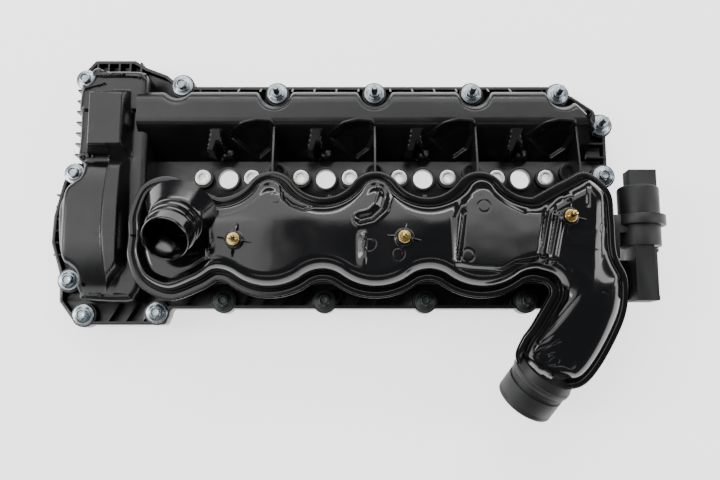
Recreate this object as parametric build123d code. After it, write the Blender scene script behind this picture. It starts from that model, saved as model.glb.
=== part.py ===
"""Moulded cam cover with integral intake manifold, for one bank of a four-cylinder-per-bank diesel.

Millimetres. +X runs along the cylinders, +Z points away from the cylinder head, and z = 0 is the
head joint face. The origin is on the line of injector bores, midway between the middle two.
"""
import os
from math import atan, cos, degrees, pi, radians, sin, sqrt, tan

from build123d import *

os.makedirs("parts", exist_ok=True)

# ---------------------------------------------------------------- driving dimensions
pitch = 98.0                                   # cylinder spacing
cylinder_x = [(i - 1.5) * pitch for i in range(4)]
bay_x = [(i - 1.0) * pitch for i in range(4)]  # midway between cylinders, and one past the last
wall = 3.5                                     # moulded wall
base = 5.0                                     # flange web
rim_top = 17.0                                 # flange rim and bolt boss height
rim = 3.0                                      # flange rim thickness

# bolts: x, y of each
stud_xy = [(-pitch, 85.5), (0.0, 85.5), (pitch, 85.5), (185.0, 84.7), (227.0, 52.5)]
hex_xy = [(-291.0, 100.0), (-194.0, 94.0), (227.5, 0.5), (-298.0, 3.0), (-298.0, -103.5),
          (-282.5, -137.0), (-211.5, -135.0)] + [(x, -123.5) for x in cylinder_x]
bolt_xy = stud_xy + hex_xy
boss_r = 12.0
boss_notch_r = 16.0                            # housings stand back this far from a bolt
shank_r = 3.0
waist_r = 2.7                                  # plain shank between thread and head
sleeve_r = 5.0
sleeve_bore_r = 3.3
grommet_r = 8.5
grommet_z = 12.0
washer_z = 18.0
washer_r = 10.5
washer_t = 2.0
hex_flats = 10.0
shank_end_z = -18.0

# injector platform
injector_r = 9.8
injector_rim_r = 12.2
injector_rim_z = 9.0
clamp_offset = 24.5                            # clamp bolt sleeve from its injector bore
clamp_sleeve_r = 8.0
clamp_bore_r = 3.7
clamp_sleeve_z = 14.0
bay_boss_y, bay_boss_z, bay_boss_r = 6.0, 12.0, 10.0
seal_in_r, seal_out_r = 12.2, 14.4

# cam housings
exhaust_y = (18.5, 84.0)
exhaust_z = 46.0
exhaust_x = (-222.0, 214.0)
intake_y = (-76.5, -34.0)
intake_x = (-222.0, 206.0)
floor_z = 38.0                                 # underside of the plenum floor
timing_x = (-290.0, -222.0)
timing_top_z = 57.0
timing_low_z = 50.0

# plenum
weld_z = 58.0                                  # joint between lower and top shell
flange_t = 4.0
top_flange_t = 3.0
band = 7.0                                     # weld flange outside the wall
shell = 3.0
plenum_top_z = 86.0
crest_y, dip_y = -4.0, -29.0                   # edge on the injector side: over the bays, over the cylinders
low_crest_y, low_dip_y = -108.0, -124.0        # edge on the bolt side: over the cylinders, over the bays

# ports and flaps
port_y = -93.5
port_half_y = 9.0
port_near, port_far = 10.0, 36.0               # port walls from the cylinder centre
block_y = (-108.5, -78.5)
block_x = 192.0
flap_z = 22.0
shaft_r = 3.5
shaft_bore_r = 4.5
flap_travel = 60.0                             # degrees, open to shut
flap_t = 1.6
clear = 0.05

# actuator
motor_x, motor_z = 252.5, 42.0
can_r = 19.5
yoke_r = 16.5
drive_arm = motor_z - flap_z
nut_per_radian = drive_arm * tan(radians(flap_travel / 2)) / radians(flap_travel / 2)

# pipe ends
spigot_at = Vector(157.0, -195.0, 36.0)
spigot_axis = Vector(-0.462, -0.734, -0.5).normalized()
spigot_r = 28.0
spigot_bore_r = 25.0
spigot_len = 33.0
stub_mouth = Vector(-183.0, -78.0, 115.0)
stub_axis = Vector(-0.10, -0.60, 0.79).normalized()
stub_r, stub_bore_r = 21.5, 19.3

UP = (Align.CENTER, Align.CENTER, Align.MIN)


# ---------------------------------------------------------------- helpers
def cyl(x, y, z0, z1, r):
    return Pos(x, y, z0) * Cylinder(r, z1 - z0, align=UP)


def tube(x, y, z0, z1, ro, ri):
    return cyl(x, y, z0, z1, ro) - cyl(x, y, z0 - 1, z1 + 1, ri)


def block(x, y, z):
    return Pos(x[0], y[0], z[0]) * Box(x[1] - x[0], y[1] - y[0], z[1] - z[0], align=(Align.MIN,) * 3)


def slab(face, z0, z1, taper=0.0):
    return extrude(Pos(0, 0, z0) * face, z1 - z0, dir=(0, 0, 1), taper=taper)


def polygon(points, r=0.0, inset=0.0):
    """Face from a closed outline, moved in by inset, with its corners rounded."""
    face = make_face(Polyline(*points, close=True))
    if inset:
        face = offset(face, amount=-inset, kind=Kind.INTERSECTION)
    return fillet(face.vertices(), r) if r else face


def rect(x, y, r=0.0):
    face = Pos((x[0] + x[1]) / 2, (y[0] + y[1]) / 2) * Rectangle(x[1] - x[0], y[1] - y[0])
    return fillet(face.vertices(), r) if r else face


def along(origin, axis, s0, s1, r):
    """Cylinder on an axis, from s0 to s1 millimetres past origin."""
    return Plane(origin=origin + axis * s0, z_dir=axis) * Cylinder(r, s1 - s0, align=UP)


def rod_x(x0, x1, y, z, r):
    return along(Vector(0, y, z), Vector(1, 0, 0), x0, x1, r)


def rod_y(y0, y1, x, z, r):
    return along(Vector(x, 0, z), Vector(0, 1, 0), y0, y1, r)


def profile_x(points, x0, x1):
    """Solid from a closed y, z outline carried along x."""
    wire = Polyline(*[(x0, y, z) for y, z in points], close=True)
    return extrude(make_face(wire), x1 - x0, dir=(1, 0, 0))


def joined(shapes):
    shapes = list(shapes)
    return shapes[0].fuse(*shapes[1:]) if len(shapes) > 1 else shapes[0]


def save(name, shape):
    solids = shape.solids() if hasattr(shape, "solids") else [s for x in shape for s in x.solids()]
    if len(solids) == 1:
        export_step(solids[0], f"parts/{name}.step")
    else:
        export_step(Compound(children=list(solids)), f"parts/{name}.step")
    print(f"{name}: {len(solids)} solids, {sum(s.volume for s in solids):.0f} mm3")


# ---------------------------------------------------------------- outlines seen from above
def cover_outline(inset=0.0):
    """Outer edge of the head flange: a polygon with rounded corners, and a round boss at each bolt."""
    points = [(-283, 121), (-243, 121), (-231, 113.5), (-210, 105.5), (-196, 93.5), (176, 93.5),
              (200, 83), (221, 68.5), (232, 46), (232, -6), (216, -14), (216, -90), (194, -118),
              (176, -131), (-198, -131), (-203, -146.5), (-290, -146.5), (-307, -124), (-308, -98),
              (-318, -66), (-317, -40), (-309, -4), (-296.5, 10), (-296.5, 92), (-291, 112)]
    face = polygon(points, 4.0 - inset, inset)
    for x, y in bolt_xy:
        face += Pos(x, y) * Circle(boss_radius(x, y) - inset)
    return face


def boss_radius(x, y):
    return 10.5 if (x, y) in (hex_xy[0], hex_xy[3]) else boss_r


def oil_cavity(grow=0.0):
    """Open space under both cam housings and the timing end, as one U, clear of the bolts."""
    s = -grow
    exhaust = rect((exhaust_x[0] - 20, exhaust_x[1] - wall - s),
                   (exhaust_y[0] + wall + s, exhaust_y[1] - wall - s), 12)
    intake = rect((intake_x[0] - 20, intake_x[1] - wall - s),
                  (intake_y[0] + wall + s, intake_y[1] - wall - s), 6)
    face = exhaust + intake + timing_outline(wall + s)
    for x, y in bolt_xy:
        face -= Pos(x, y) * Circle(boss_notch_r + wall + s)
    return face


def timing_upper(inset=0.0):
    return rect((timing_x[0] + inset, timing_x[1] - inset), (-20, 94 - inset), 8)


def timing_lower(inset=0.0):
    return polygon([(-284, 4), (-299, -10), (-306, -40), (-306, -62), (-298, -92), (-292, -98),
                    (-288, -126), (-232, -126), (-224, -112), (-222, 4)], 4, inset)


def timing_outline(inset=0.0):
    """Foot of the timing end: a narrow upper block over a wide, round-sided lower one."""
    return timing_upper(inset) + timing_lower(inset)


def plenum_outline(inset=0.0):
    """Scalloped plenum edge. Each crest and dip is an arc, tangent to the next at the step between."""
    def wave(points, crest_r):
        """Tangent arcs through points with level tangents; crest_r is the radius at every crest."""
        arcs, height = [], max(p[1] for p in points)
        for a, b in zip(points, points[1:]):
            dx, dy = b[0] - a[0], b[1] - a[1]
            total = (dx * dx + dy * dy) / (2 * abs(dy))
            first = crest_r if a[1] == height else total - crest_r
            middle = (a[0] + dx * first / total, a[1] + dy * first / total)
            arcs.append(TangentArc(a, middle, tangent=(1 if dx > 0 else -1, 0)))
            arcs.append(TangentArc(middle, b, tangent=arcs[-1] % 1))
        return arcs

    top_crest, top_dip = crest_y - inset, dip_y - inset
    low_crest, low_dip = low_crest_y + inset, low_dip_y + inset
    upper = [(cylinder_x[0], top_dip)]
    for bay, x in zip(bay_x, cylinder_x[1:]):
        upper += [(bay, top_crest), (x, top_dip)]
    lower = [(-98.0, low_dip), (-147.0, low_crest)]
    lower = [(147.0, low_crest)]
    for bay, x in zip(bay_x[2::-1], cylinder_x[2::-1]):
        lower += [(bay, low_dip), (x, low_crest)]
    left, right = -230.5 + inset, 224.0 - inset
    edges = wave(upper, 26.0 - inset)
    edges += [Spline(upper[-1], (178, -12 - inset), (199, -4 - inset), (right - 3, -24), (right, -48),
                     tangents=[(1, 0), (0, -1)])]
    edges += [Line((right, -48), (right, -92)),
              Spline((right, -92), (196, -106 + inset), lower[0], tangents=[(0, -1), (-1, 0)])]
    edges += wave(lower, 20.0 + inset)
    edges += [Spline(lower[-1], (-162, -117 + inset), (-190, -126 + inset), (-218, -113.5 + inset * 0.8),
                     (left, -88), tangents=[(-1, 0), (0, 1)])]
    edges += [Line((left, -88), (left, -44)),
              Spline((left, -44), (-219, -17 - inset * 0.8), (-194, -8.5 - inset),
                     (-167, -21 - inset), upper[0], tangents=[(0, 1), (1, 0)])]
    return make_face(Wire(edges))


def elbow_outline(inset=0.0):
    """Weld flange round the elbow."""
    return polygon([(160, -95), (160, -122), (139, -154), (129, -178), (140, -195), (170, -216),
                    (186, -209), (211, -178), (229, -150), (236, -126), (234, -100), (222, -78),
                    (200, -70)], 6, inset)


# ---------------------------------------------------------------- head flange and injector platform
def whole_flange():
    outline = cover_outline()
    cavity = oil_cavity()
    body = slab(outline, 0, base) - slab(cavity, -1, base + 1)
    edge = outline - cover_outline(rim)
    open_side = block((-320, -291.5), (14, 88), (base, rim_top + 1))
    body += slab(edge, base, rim_top) - open_side
    body -= block((-block_x, block_x), block_y, (-1, base + 1))
    for x, y in bolt_xy:
        body += cyl(x, y, base, rim_top, boss_radius(x, y))
    # platform: injector rims, clamp sleeve bosses, bay bosses
    for x in cylinder_x:
        body += cyl(x, 0, base, injector_rim_z, injector_rim_r)
        for side in (-1, 1):
            body += cyl(x + side * clamp_offset, 0, base, clamp_sleeve_z - 1.5, clamp_sleeve_r + 2.2)
    for x in bay_x:
        body += cyl(x, bay_boss_y, base, bay_boss_z, bay_boss_r) - cyl(x, bay_boss_y, 9, 20, 6.5)
    body += joined(flange_ribs())
    # holes and grooves
    for x in cylinder_x:
        body -= cyl(x, 0, -1, 20, injector_r)
        body -= tube(x, 0, -1, 2, seal_out_r + 0.1, seal_in_r - 0.1)
        for side in (-1, 1):
            body -= cyl(x + side * clamp_offset, 0, -1, 20, clamp_sleeve_r)
    for x, y in bolt_xy:
        body -= cyl(x, y, -1, 30, sleeve_r)
        body -= cyl(x, y, grommet_z, 30, grommet_r)
    body -= rod_x(block_x, 240, port_y, flap_z, 8.5)
    return body - slab(gasket_ring(2.0, 5.2), -1, 1.5)


# The one flange moulding is held as straight-sided lengths, so that collision stays open between them
flange_cuts = {
    "flange_exhaust_side": [((-184, 206), (64, 130))],
    "flange_exhaust_corner": [((206, 300), (27, 130))],
    "flange_timing_head": [((-284, -222), (64, 130))],
    "flange_timing_step": [((-222, -184), (64, 130))],
    "flange_timing_upper": [((-330, -284), (23, 130))],
    "flange_timing_waist": [((-330, -277), (-17, 23))],
    "flange_timing_lower": [((-330, -284), (-83, -17))],
    "flange_timing_corner": [((-330, -277), (-122, -83))],
    "flange_timing_foot": [((-330, -200), (-160, -122)), ((-277, -236), (-122, -116))],
    "flange_bolt_side": [((-236, -200), (-122, -72)), ((-200, 216.5), (-160, -72))],
    "flange_actuator_end": [((196, 300), (-72, 27))],
    "injector_platform": [((-240, 196), (-38, 27))],
}


def flange_part(name):
    """One straight-sided length of the flange."""
    return made_flange & joined([block(x, y, (-50, 90)) for x, y in flange_cuts[name]])


def flange_ribs():
    """Stiffening webs between the flange rim and the housings."""
    ribs = []
    for bay in bay_x[:3] + [-2 * pitch + 18, 185.0]:
        for step in (16, 38) if bay == bay_x[0] or bay > -pitch and bay < 180 else ():
            for side in (-1, 1):
                x = bay + side * step
                if abs(x) < 172:
                    ribs.append(profile_x([(80.5, base - 1), (92, base - 1), (92, rim_top), (84, 30)],
                                          x - 0.9, x + 0.9) - block((-400, 400), (0, 84.0), (0, 60)))
    for x in (-176.0, -157.0, 170.0):
        ribs.append(block((x - 0.9, x + 0.9), (84.0, 92), (base - 1, rim_top)))
    # slanting webs along the bolt side
    for i in range(20):
        x = -186 + i * 18.2
        near_bolt = min(abs(x + 7 - b) for b in cylinder_x)
        if near_bolt > 15:
            web = polygon([(x, -129.5), (x + 1.8, -129.5), (x + 14, -109), (x + 12.2, -109)])
            ribs.append(slab(web, base - 1, rim_top - 1))
    # gussets up the timing end, and webs round its lower dome
    for i in range(7):
        y = 20 + i * 11.0
        ribs.append(block((-296, -290.0), (y - 0.9, y + 0.9), (base - 1, 28)))
    for i in range(6):
        y = -18 - i * 12.0
        ribs.append(block((-316, -306.0), (y - 0.8, y + 0.8), (base - 1, rim_top - 1)))
    for i in range(5):
        x = -281 + i * 11.0
        ribs.append(block((x - 0.9, x + 0.9), (94, 119.5), (base - 1, rim_top)))
    for i in range(3):
        x = -262 + i * 17.0
        web = polygon([(x, -145.5), (x + 1.8, -145.5), (x + 14, -126), (x + 12.2, -126)])
        ribs.append(slab(web, base - 1, rim_top - 1))
    for y in (20.0, 34.0):
        ribs.append(block((214.0, 231), (y - 0.9, y + 0.9), (base - 1, rim_top)))
    return ribs


def bay_webs():
    """Thin upright webs from the exhaust housing across the platform to the plenum edge."""
    run = [(exhaust_y[0], base), (45, exhaust_z - 3.5), (-3.0, 53.0), (-10.5, 53.0), (-10.5, base)]
    return [profile_x(run, x - 0.9, x + 0.9) - cyl(x, bay_boss_y, 0, bay_boss_z, bay_boss_r) for x in bay_x]


def plenum_gussets():
    """Webs that prop the plenum's weld flange off the platform."""
    plan = [(-155.0, 0.9, -22.0), (-43.0, 2.2, -17.0), (47.0, 2.2, -17.0), (172.0, 0.9, -17.0)]
    shell = plenum_lower_shell()
    webs = [profile_x([(intake_y[1], base), (foot, base), (foot - 9, 54), (intake_y[1], 54)], x - t, x + t) - shell
            for x, t, foot in plan]
    return [web.solids().sort_by(SortBy.VOLUME)[-1] for web in webs]


def gasket_ring(inner, outer):
    return oil_cavity(outer) - oil_cavity(inner)


# ---------------------------------------------------------------- cam housings
def exhaust_profile(inset=0.0):
    y0, y1 = exhaust_y
    s, top = inset, exhaust_z - inset
    lift = base if not inset else base - 1
    return [(y1 - s, lift), (y1 - 2.5 - s, 36 - s / 2), (y1 - 7 - s, 42.5 - s), (y1 - 13 - s / 2, top),
            (52 - s / 2, top), (45 + s / 2, 42.5 - s), (y0 + s * 1.25, lift)]


def exhaust_cam_housing():
    x0, x1 = exhaust_x
    outer = profile_x(exhaust_profile(), x0, x1)
    inner = profile_x(exhaust_profile(wall), x0 - 1, x1 - wall)
    corner = [(x0 - 9, 10), (x1, 10), (x1, 56), (x1 - 26, 85), (x0 - 9, 85)]
    outer &= slab(polygon(corner), 0, 80)
    inner &= slab(polygon(corner, 0, wall), 0, 80)
    for x in cylinder_x:
        outer += cyl(x, 24.5, base, 18, 9)
    for x, y in bolt_xy:
        outer -= cyl(x, y, 0, 90, boss_notch_r)
        inner -= cyl(x, y, 0, 90, boss_notch_r + wall)
    body = outer - inner
    body -= block((-400, 400), (10, 90), (-10, base))
    return max(body.solids(), key=lambda s: s.volume)


def timing_end_housing():
    upper_out = slab(timing_upper(), base, timing_top_z, taper=4)
    upper_in = slab(timing_upper(wall), base - 1, timing_top_z - wall, taper=4)
    lower_out = slab(timing_lower(), base, timing_low_z, taper=5)
    lower_in = slab(timing_lower(wall), base - 1, timing_low_z - wall, taper=5)
    outer = upper_out + lower_out
    inner = upper_in + lower_in
    for x, y in bolt_xy:
        outer -= cyl(x, y, 0, 90, boss_notch_r - 3)
        inner -= cyl(x, y, 0, 90, boss_notch_r)
    body = outer - inner
    # the cam tunnels run on into this end
    body -= profile_x(exhaust_profile(wall), -240, exhaust_x[0] + 1)
    body -= block((-240, -221), (intake_y[0] + wall, intake_y[1] - wall), (0, floor_z - wall))
    body -= block((-400, 400), (-200, 200), (-10, base))
    body -= block((exhaust_x[0], 0), (-200, 200), (0, 90))
    return max(body.solids(), key=lambda s: s.volume)


def intake_cam_housing():
    y0, y1 = intake_y
    x0, x1 = intake_x
    body = block((x0, x1), (y0, y1), (base, floor_z))
    body -= block((x0 - 1, x1 - wall), (y0 + wall, y1 - wall), (base - 1, floor_z - wall))
    return body


def port_block():
    """Rectangular runner block: two upright ports to each cylinder, and the flap shaft bore across."""
    body = block((-block_x, block_x), block_y, (0, floor_z))
    for x0, x1 in port_spans():
        body -= slab(port_face(x0, x1), -1, floor_z + 1)
        body -= slab(seal_face(x0, x1, 1.8, 4.3), -1, 1.8)
    for x in bay_x[:3]:
        for y in ((block_y[0], -97.0), (-90.0, block_y[1])):
            body -= block((x - 9, x + 9), (y[0] + 2.5, y[1] - 2.5), (-1, 14))
    return body - rod_x(-block_x + 3, block_x + 1, port_y, flap_z, shaft_bore_r)


def port_block_part(number):
    """One port's share of the block, cut at the cylinder centres and the bay lines."""
    left = -196 + 49 * (number - 1)
    span = (left if number > 1 else -block_x - 1, left + 49 if number < 8 else block_x + 1)
    return made_ports & block(span, (-300, 100), (-10, 90))


def port_spans():
    return [(x + s * port_near, x + s * port_far)[::s] for x in cylinder_x for s in (-1, 1)]


def port_face(x0, x1, grow=0.0):
    g = grow
    return rect((x0 - g, x1 + g), (port_y - port_half_y - g, port_y + port_half_y + g), 3 + g)


def seal_face(x0, x1, near, far):
    return port_face(x0, x1, far) - port_face(x0, x1, near)


# ---------------------------------------------------------------- plenum shells, elbow and pipe ends
def elbow(inset):
    """Inlet elbow: ellipses along its centreline, from inside the plenum to the round spigot joint."""
    stations = [((188, -62, 63.5), (0.15, -1, 0), 33, 22.5), ((194, -92, 63), (0.12, -1, 0), 33, 22.5),
                ((196.5, -120, 61), (-0.1, -1, -0.1), 33, 24.5),
                ((188, -147, 56), (-0.42, -0.87, -0.25), 33, 27.5),
                ((174, -170, 47.5), (-0.5, -0.78, -0.38), 31.5, 30),
                (tuple(spigot_at), tuple(spigot_axis), 30, 30)]
    rings = []
    for centre, direction, a, b in stations:
        heading = Vector(*direction).normalized()
        side = heading.cross(Vector(0, 0, 1)).normalized()
        rings.append(Plane(origin=centre, x_dir=side, z_dir=heading) * Ellipse(a - inset, b - inset))
    return loft(rings)


def plenum_half_space(lower):
    return block((-400, 400), (-400, 200), (-200, weld_z) if lower else (weld_z, 300))


def plenum_dome(inset):
    """Space under the top shell, drawn in towards a rounded shoulder."""
    steps = [(0, weld_z), (2.0, weld_z + 13), (5.0, plenum_top_z - 6), (11.0, plenum_top_z)]
    levels = [(band + draw + inset, z - (inset if z > weld_z else 0)) for draw, z in steps]
    return joined(loft([Pos(0, 0, z0) * plenum_outline(i0), Pos(0, 0, z1) * plenum_outline(i1)], ruled=True)
                  for (i0, z0), (i1, z1) in zip(levels, levels[1:]))


def plenum_lower_shell():
    outline = plenum_outline() + elbow_outline()
    wall_face = plenum_outline(band)
    body = slab(outline, weld_z - flange_t, weld_z) + slab(wall_face, floor_z, weld_z)
    body += elbow(0) & plenum_half_space(True)
    body -= slab(plenum_outline(band + shell), floor_z + wall, weld_z + 1)
    body -= elbow(shell)
    for x0, x1 in port_spans():
        body -= slab(port_face(x0, x1), 0, weld_z)
    body &= plenum_half_space(True)
    return max(body.solids(), key=lambda s: s.volume)


def plenum_top_shell():
    outline = plenum_outline(1.2) + elbow_outline(1.2)
    body = slab(outline, weld_z, weld_z + top_flange_t) + plenum_dome(0)
    body += elbow(0) & plenum_half_space(False)
    body -= plenum_dome(shell)
    body -= elbow(shell) & plenum_half_space(False)
    body -= along(stub_mouth, stub_axis, -70, 10, stub_r)
    for x, y in fixing_stud_xy:
        body += cyl(x, y, plenum_top_z - 1, plenum_top_z + 1.5, 8.0)
    return max(body.solids(), key=lambda s: s.volume)


fixing_stud_xy = [(-128.0, -73.5), (25.5, -71.5), (175.0, -52.5)]


def crossover_stub():
    body = along(stub_mouth, stub_axis, -60, 0, stub_r) + along(stub_mouth, stub_axis, -12, -9, stub_r + 1.6)
    body += along(stub_mouth, stub_axis, -18, -15, stub_r + 1.6)
    body -= along(stub_mouth, stub_axis, -70, 1, stub_bore_r)
    return body - block((-300, 0), (-200, 100), (0, plenum_top_z - shell))


def hose_spigot():
    body = along(spigot_at, spigot_axis, 0, spigot_len, spigot_r) + along(spigot_at, spigot_axis, 0, 2, 30)
    return body - along(spigot_at, spigot_axis, -1, spigot_len + 1, spigot_bore_r)


def fixing_studs():
    studs = []
    for x, y in fixing_stud_xy:
        z = plenum_top_z + 1.5
        stud = cyl(x, y, z, z + 4, 5.8) + cyl(x, y, z + 4, z + 18, 2.7)
        studs.append(chamfer(stud.faces().sort_by(Axis.Z)[-1].edges(), 0.8))
    return studs


# ---------------------------------------------------------------- seals, bolts and sleeves
def hexagon(x, y, z0, z1):
    return slab(Pos(x, y) * RegularPolygon(hex_flats / sqrt(3), 6), z0, z1)


def hex_bolts():
    top = washer_z + washer_t
    bolts = []
    for x, y in hex_xy:
        bolt = cyl(x, y, shank_end_z, -1, shank_r) + cyl(x, y, -1, top, waist_r) + cyl(x, y, top, top + 1.6, 6.6)
        bolt += hexagon(x, y, top, top + 7.5)
        bolts.append(bolt - cyl(x, y, top + 6.7, top + 9, 3.0))
    return bolts


def stud_bolts():
    top = washer_z + washer_t
    bolts = []
    for x, y in stud_xy:
        bolt = cyl(x, y, shank_end_z, -1, shank_r) + cyl(x, y, -1, top, waist_r) + cyl(x, y, top, top + 1.4, 6.6)
        bolt += cyl(x, y, top, top + 20, shank_r)
        bolt += hexagon(x, y, top, top + 6)
        bolts.append(chamfer(bolt.faces().sort_by(Axis.Z)[-1].edges(), 0.7))
    return bolts


def bolt_washers():
    return [tube(x, y, washer_z, washer_z + washer_t, washer_r, sleeve_bore_r) for x, y in bolt_xy]


def bolt_sleeves():
    return [tube(x, y, 0, washer_z, sleeve_r, sleeve_bore_r) for x, y in bolt_xy]


def bolt_grommets():
    return [tube(x, y, grommet_z, washer_z, grommet_r, sleeve_r) for x, y in bolt_xy]


def clamp_sleeves():
    return [tube(x + s * clamp_offset, 0, 0, clamp_sleeve_z, clamp_sleeve_r, clamp_bore_r)
            for x in cylinder_x for s in (-1, 1)]


def injector_seals():
    return [tube(x, 0, -0.6, 2, seal_out_r, seal_in_r) for x in cylinder_x]


def port_seals():
    return [slab(seal_face(x0, x1, 1.9, 4.2), -0.6, 1.8) for x0, x1 in port_spans()]


# ---------------------------------------------------------------- flaps and their drive
flap_x = [(x0 + x1) / 2 for x0, x1 in port_spans()[::2]]


def swirl_flaps():
    """Plates that stand upright in one port of each pair, in a slot across the shaft."""
    reach = (port_half_y - 0.5) / sin(radians(flap_travel))
    half = (port_far - port_near) / 2 - 0.5
    flaps = [block((x - half, x + half), (port_y - flap_t / 2, port_y + flap_t / 2),
                   (flap_z - reach, flap_z + reach)) for x in flap_x]
    return [fillet(flap.edges().filter_by(Axis.Y), 4.0) for flap in flaps]


def flap_shaft():
    shaft = rod_x(-block_x + 4, 251, port_y, flap_z, shaft_r)
    for flap in swirl_flaps():
        shaft -= flap
    for x in flap_x:
        for dx in (-8, 8):
            shaft -= rod_y(port_y - 5, port_y + 5, x + dx, flap_z, 1.25)
    return shaft


def flap_screws():
    """Each screw's head sits on the shaft and its shank stops at the flap plate."""
    screws = []
    for x in flap_x:
        for dx in (-8, 8):
            y = port_y + flap_t / 2
            screws.append(rod_y(y, port_y + shaft_r + 0.2, x + dx, flap_z, 1.2)
                          + rod_y(port_y + shaft_r + 0.2, port_y + shaft_r + 1.6, x + dx, flap_z, 2.4))
    return screws


def shaft_bushes():
    places = [(-block_x + 3, -183.3), (-104, -92), (-6, 6), (92, 104), (183.3, block_x)]
    return [rod_x(a, b, port_y, flap_z, shaft_bore_r) - rod_x(a - 1, b + 1, port_y, flap_z, shaft_r + clear)
            for a, b in places]


def tilted(shape, angle):
    """Turned about the flap shaft."""
    return shape.rotate(Axis((0, port_y, flap_z), (1, 0, 0)), angle)


def drive_lever():
    """Slotted arm on the shaft's end; it leans half the travel back at rest, towards the motor."""
    hub = rod_x(244.6, 250.5, port_y, flap_z, 6.5)
    arm = block((244.6, 247.0), (port_y - 5.5, port_y + 5.5), (flap_z, flap_z + 28))
    slot = block((244, 248), (port_y - 3.3, port_y + 3.3), (flap_z + 16.0, flap_z + 30))
    arm = tilted(arm - slot, -flap_travel / 2)
    return hub + arm - rod_x(240, 252, port_y, flap_z, shaft_r)


nut_rest_y = port_y + nut_per_radian * radians(flap_travel / 2)


def spindle_nut():
    body = block((motor_x - 5.1, motor_x + 5.1), (nut_rest_y - 6, nut_rest_y + 6), (motor_z - 6, motor_z + 6))
    body -= rod_y(-200, 0, motor_x, motor_z, shank_r + clear)
    return body + rod_x(244.8, motor_x - 5.1, nut_rest_y, motor_z, 2.5)


def motor_armature():
    spin = rod_y(-118, -68, motor_x, motor_z, shank_r) + rod_y(-69, -21, motor_x, motor_z, 2.0)
    core = rod_y(-62, -34, motor_x, motor_z, 10)
    for i in range(5):
        slot = Pos(motor_x + 9 * cos(i * 2 * pi / 5), -48, motor_z + 9 * sin(i * 2 * pi / 5))
        core -= slot * Box(3, 30, 3)
    return spin + core + rod_y(-33.9, -28, motor_x, motor_z, 5.5) + rod_y(-34, -33.5, motor_x, motor_z, 3)


def motor_yoke():
    body = rod_y(-68, -19, motor_x, motor_z, yoke_r) - rod_y(-69, -20.5, motor_x, motor_z, yoke_r - 1.5)
    return body - rod_y(-22, -18, motor_x, motor_z, 5)


def motor_magnets():
    ring = rod_y(-62, -34, motor_x, motor_z, yoke_r - 1.5) - rod_y(-63, -33, motor_x, motor_z, 11.2)
    ring -= block((motor_x - 20, motor_x + 20), (-70, -30), (motor_z - 5, motor_z + 5))
    return ring


def motor_bearings():
    upper = rod_y(-25, -19, motor_x, motor_z, 5) - rod_y(-26, -18, motor_x, motor_z, 2.0 + clear)
    lower = rod_y(-74, -68, motor_x, motor_z, 7) - rod_y(-76, -67, motor_x, motor_z, shank_r + clear)
    end = rod_y(-120, -117, motor_x, motor_z, 5.5) - rod_y(-119, -116, motor_x, motor_z, shank_r + clear)
    return [upper, lower, end]


def gearbox_plan(inset=0.0):
    """Flat gearbox seen along the shaft: round over the flap shaft, square over the spindle."""
    s = inset
    return [(-126 + s, 30), (-126 + s, 58 - s), (-60 - s, 58 - s), (-60 - s, 24), (-78, 6 + s), (-108, 6 + s)]


def gearbox_case():
    body = profile_x(gearbox_plan(), 242, 260)
    body += rod_y(-74, -49.5, motor_x, motor_z, can_r)
    body -= profile_x([(-121.5, 31), (-121.5, 55), (-74, 55), (-74, 22), (-80, 8.5), (-106, 8.5)], 244, 261)
    body -= rod_y(-68, -48, motor_x, motor_z, yoke_r)
    body -= rod_y(-75, -67, motor_x, motor_z, 7)
    body += (rod_y(-122, -117, motor_x, motor_z, 8) & block((244, 260), (-122, -117), (30, 54)))
    body -= rod_y(-120, -116, motor_x, motor_z, 5.5)
    body -= rod_x(241, 245, port_y, flap_z, shaft_bore_r)
    for y, z in lid_screw_yz:
        body += rod_x(244, 260, y, z, 3.4) & profile_x(gearbox_plan(), 242, 260)
        body -= rod_x(252, 261, y, z, 1.3)
    return body


lid_screw_yz = [(-123.0, 52.0), (-123.0, 34.0), (-81.0, 9.5), (-78.5, 54.5)]


def gearbox_lid():
    lid = profile_x(gearbox_plan(), 260, 262.5) - rod_y(-76, -48, motor_x, motor_z, can_r)
    for y, z in lid_screw_yz:
        lid -= rod_x(259, 264, y, z, 1.6)
    return lid


def gearbox_screws():
    return [rod_x(253, 262.5, y, z, 1.3) + rod_x(262.5, 264.3, y, z, 2.8) for y, z in lid_screw_yz]


def actuator_cover():
    can = fillet(rod_y(-49.5, -16, motor_x, motor_z, can_r).faces().sort_by(Axis.Y)[-1].edges(), 4)
    can -= rod_y(-50, -19, motor_x, motor_z, yoke_r)
    shroud = block((242, 268), (-17, -0.5), (33, 51))
    shroud -= block((244, 263.5), (-14, 0), (35, 49))
    shroud -= block((265.5, 269), (-14, 0), (40, 44))
    return can + shroud


def connector_pins():
    return [block((247.2 + i * 3.6, 248.0 + i * 3.6), (-14, -5), (41, 43)) for i in range(5)]


def mounting_band():
    ring = rod_y(-54.5, -44.7, motor_x, motor_z, 24.5) - rod_y(-55, -44, motor_x, motor_z, can_r)
    return ring


def actuator_bracket():
    under = weld_z - flange_t
    plate = block((224.5, 229), (-86, -45), (14, under))
    foot = block((224.5, 242), (-124, -86), (10, 34)) - block((229, 243), (-120, -104), (14, 30))
    arm_top = block((217, 238), (-62, -45), (44, under)) - rod_y(-70, -40, motor_x, motor_z, can_r)
    arm_low = rod_x(block_x, 238, port_y, flap_z, 8.5)
    web = slab(polygon([(block_x, -86), (226, -86), (226, -120), (block_x, -104)]), 20, 24)
    body = plate + foot + arm_top + arm_low + web - rod_y(-54.5, -44.7, motor_x, motor_z, 24.5)
    return body - rod_x(block_x - 1, 243, port_y, flap_z, shaft_bore_r)


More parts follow.
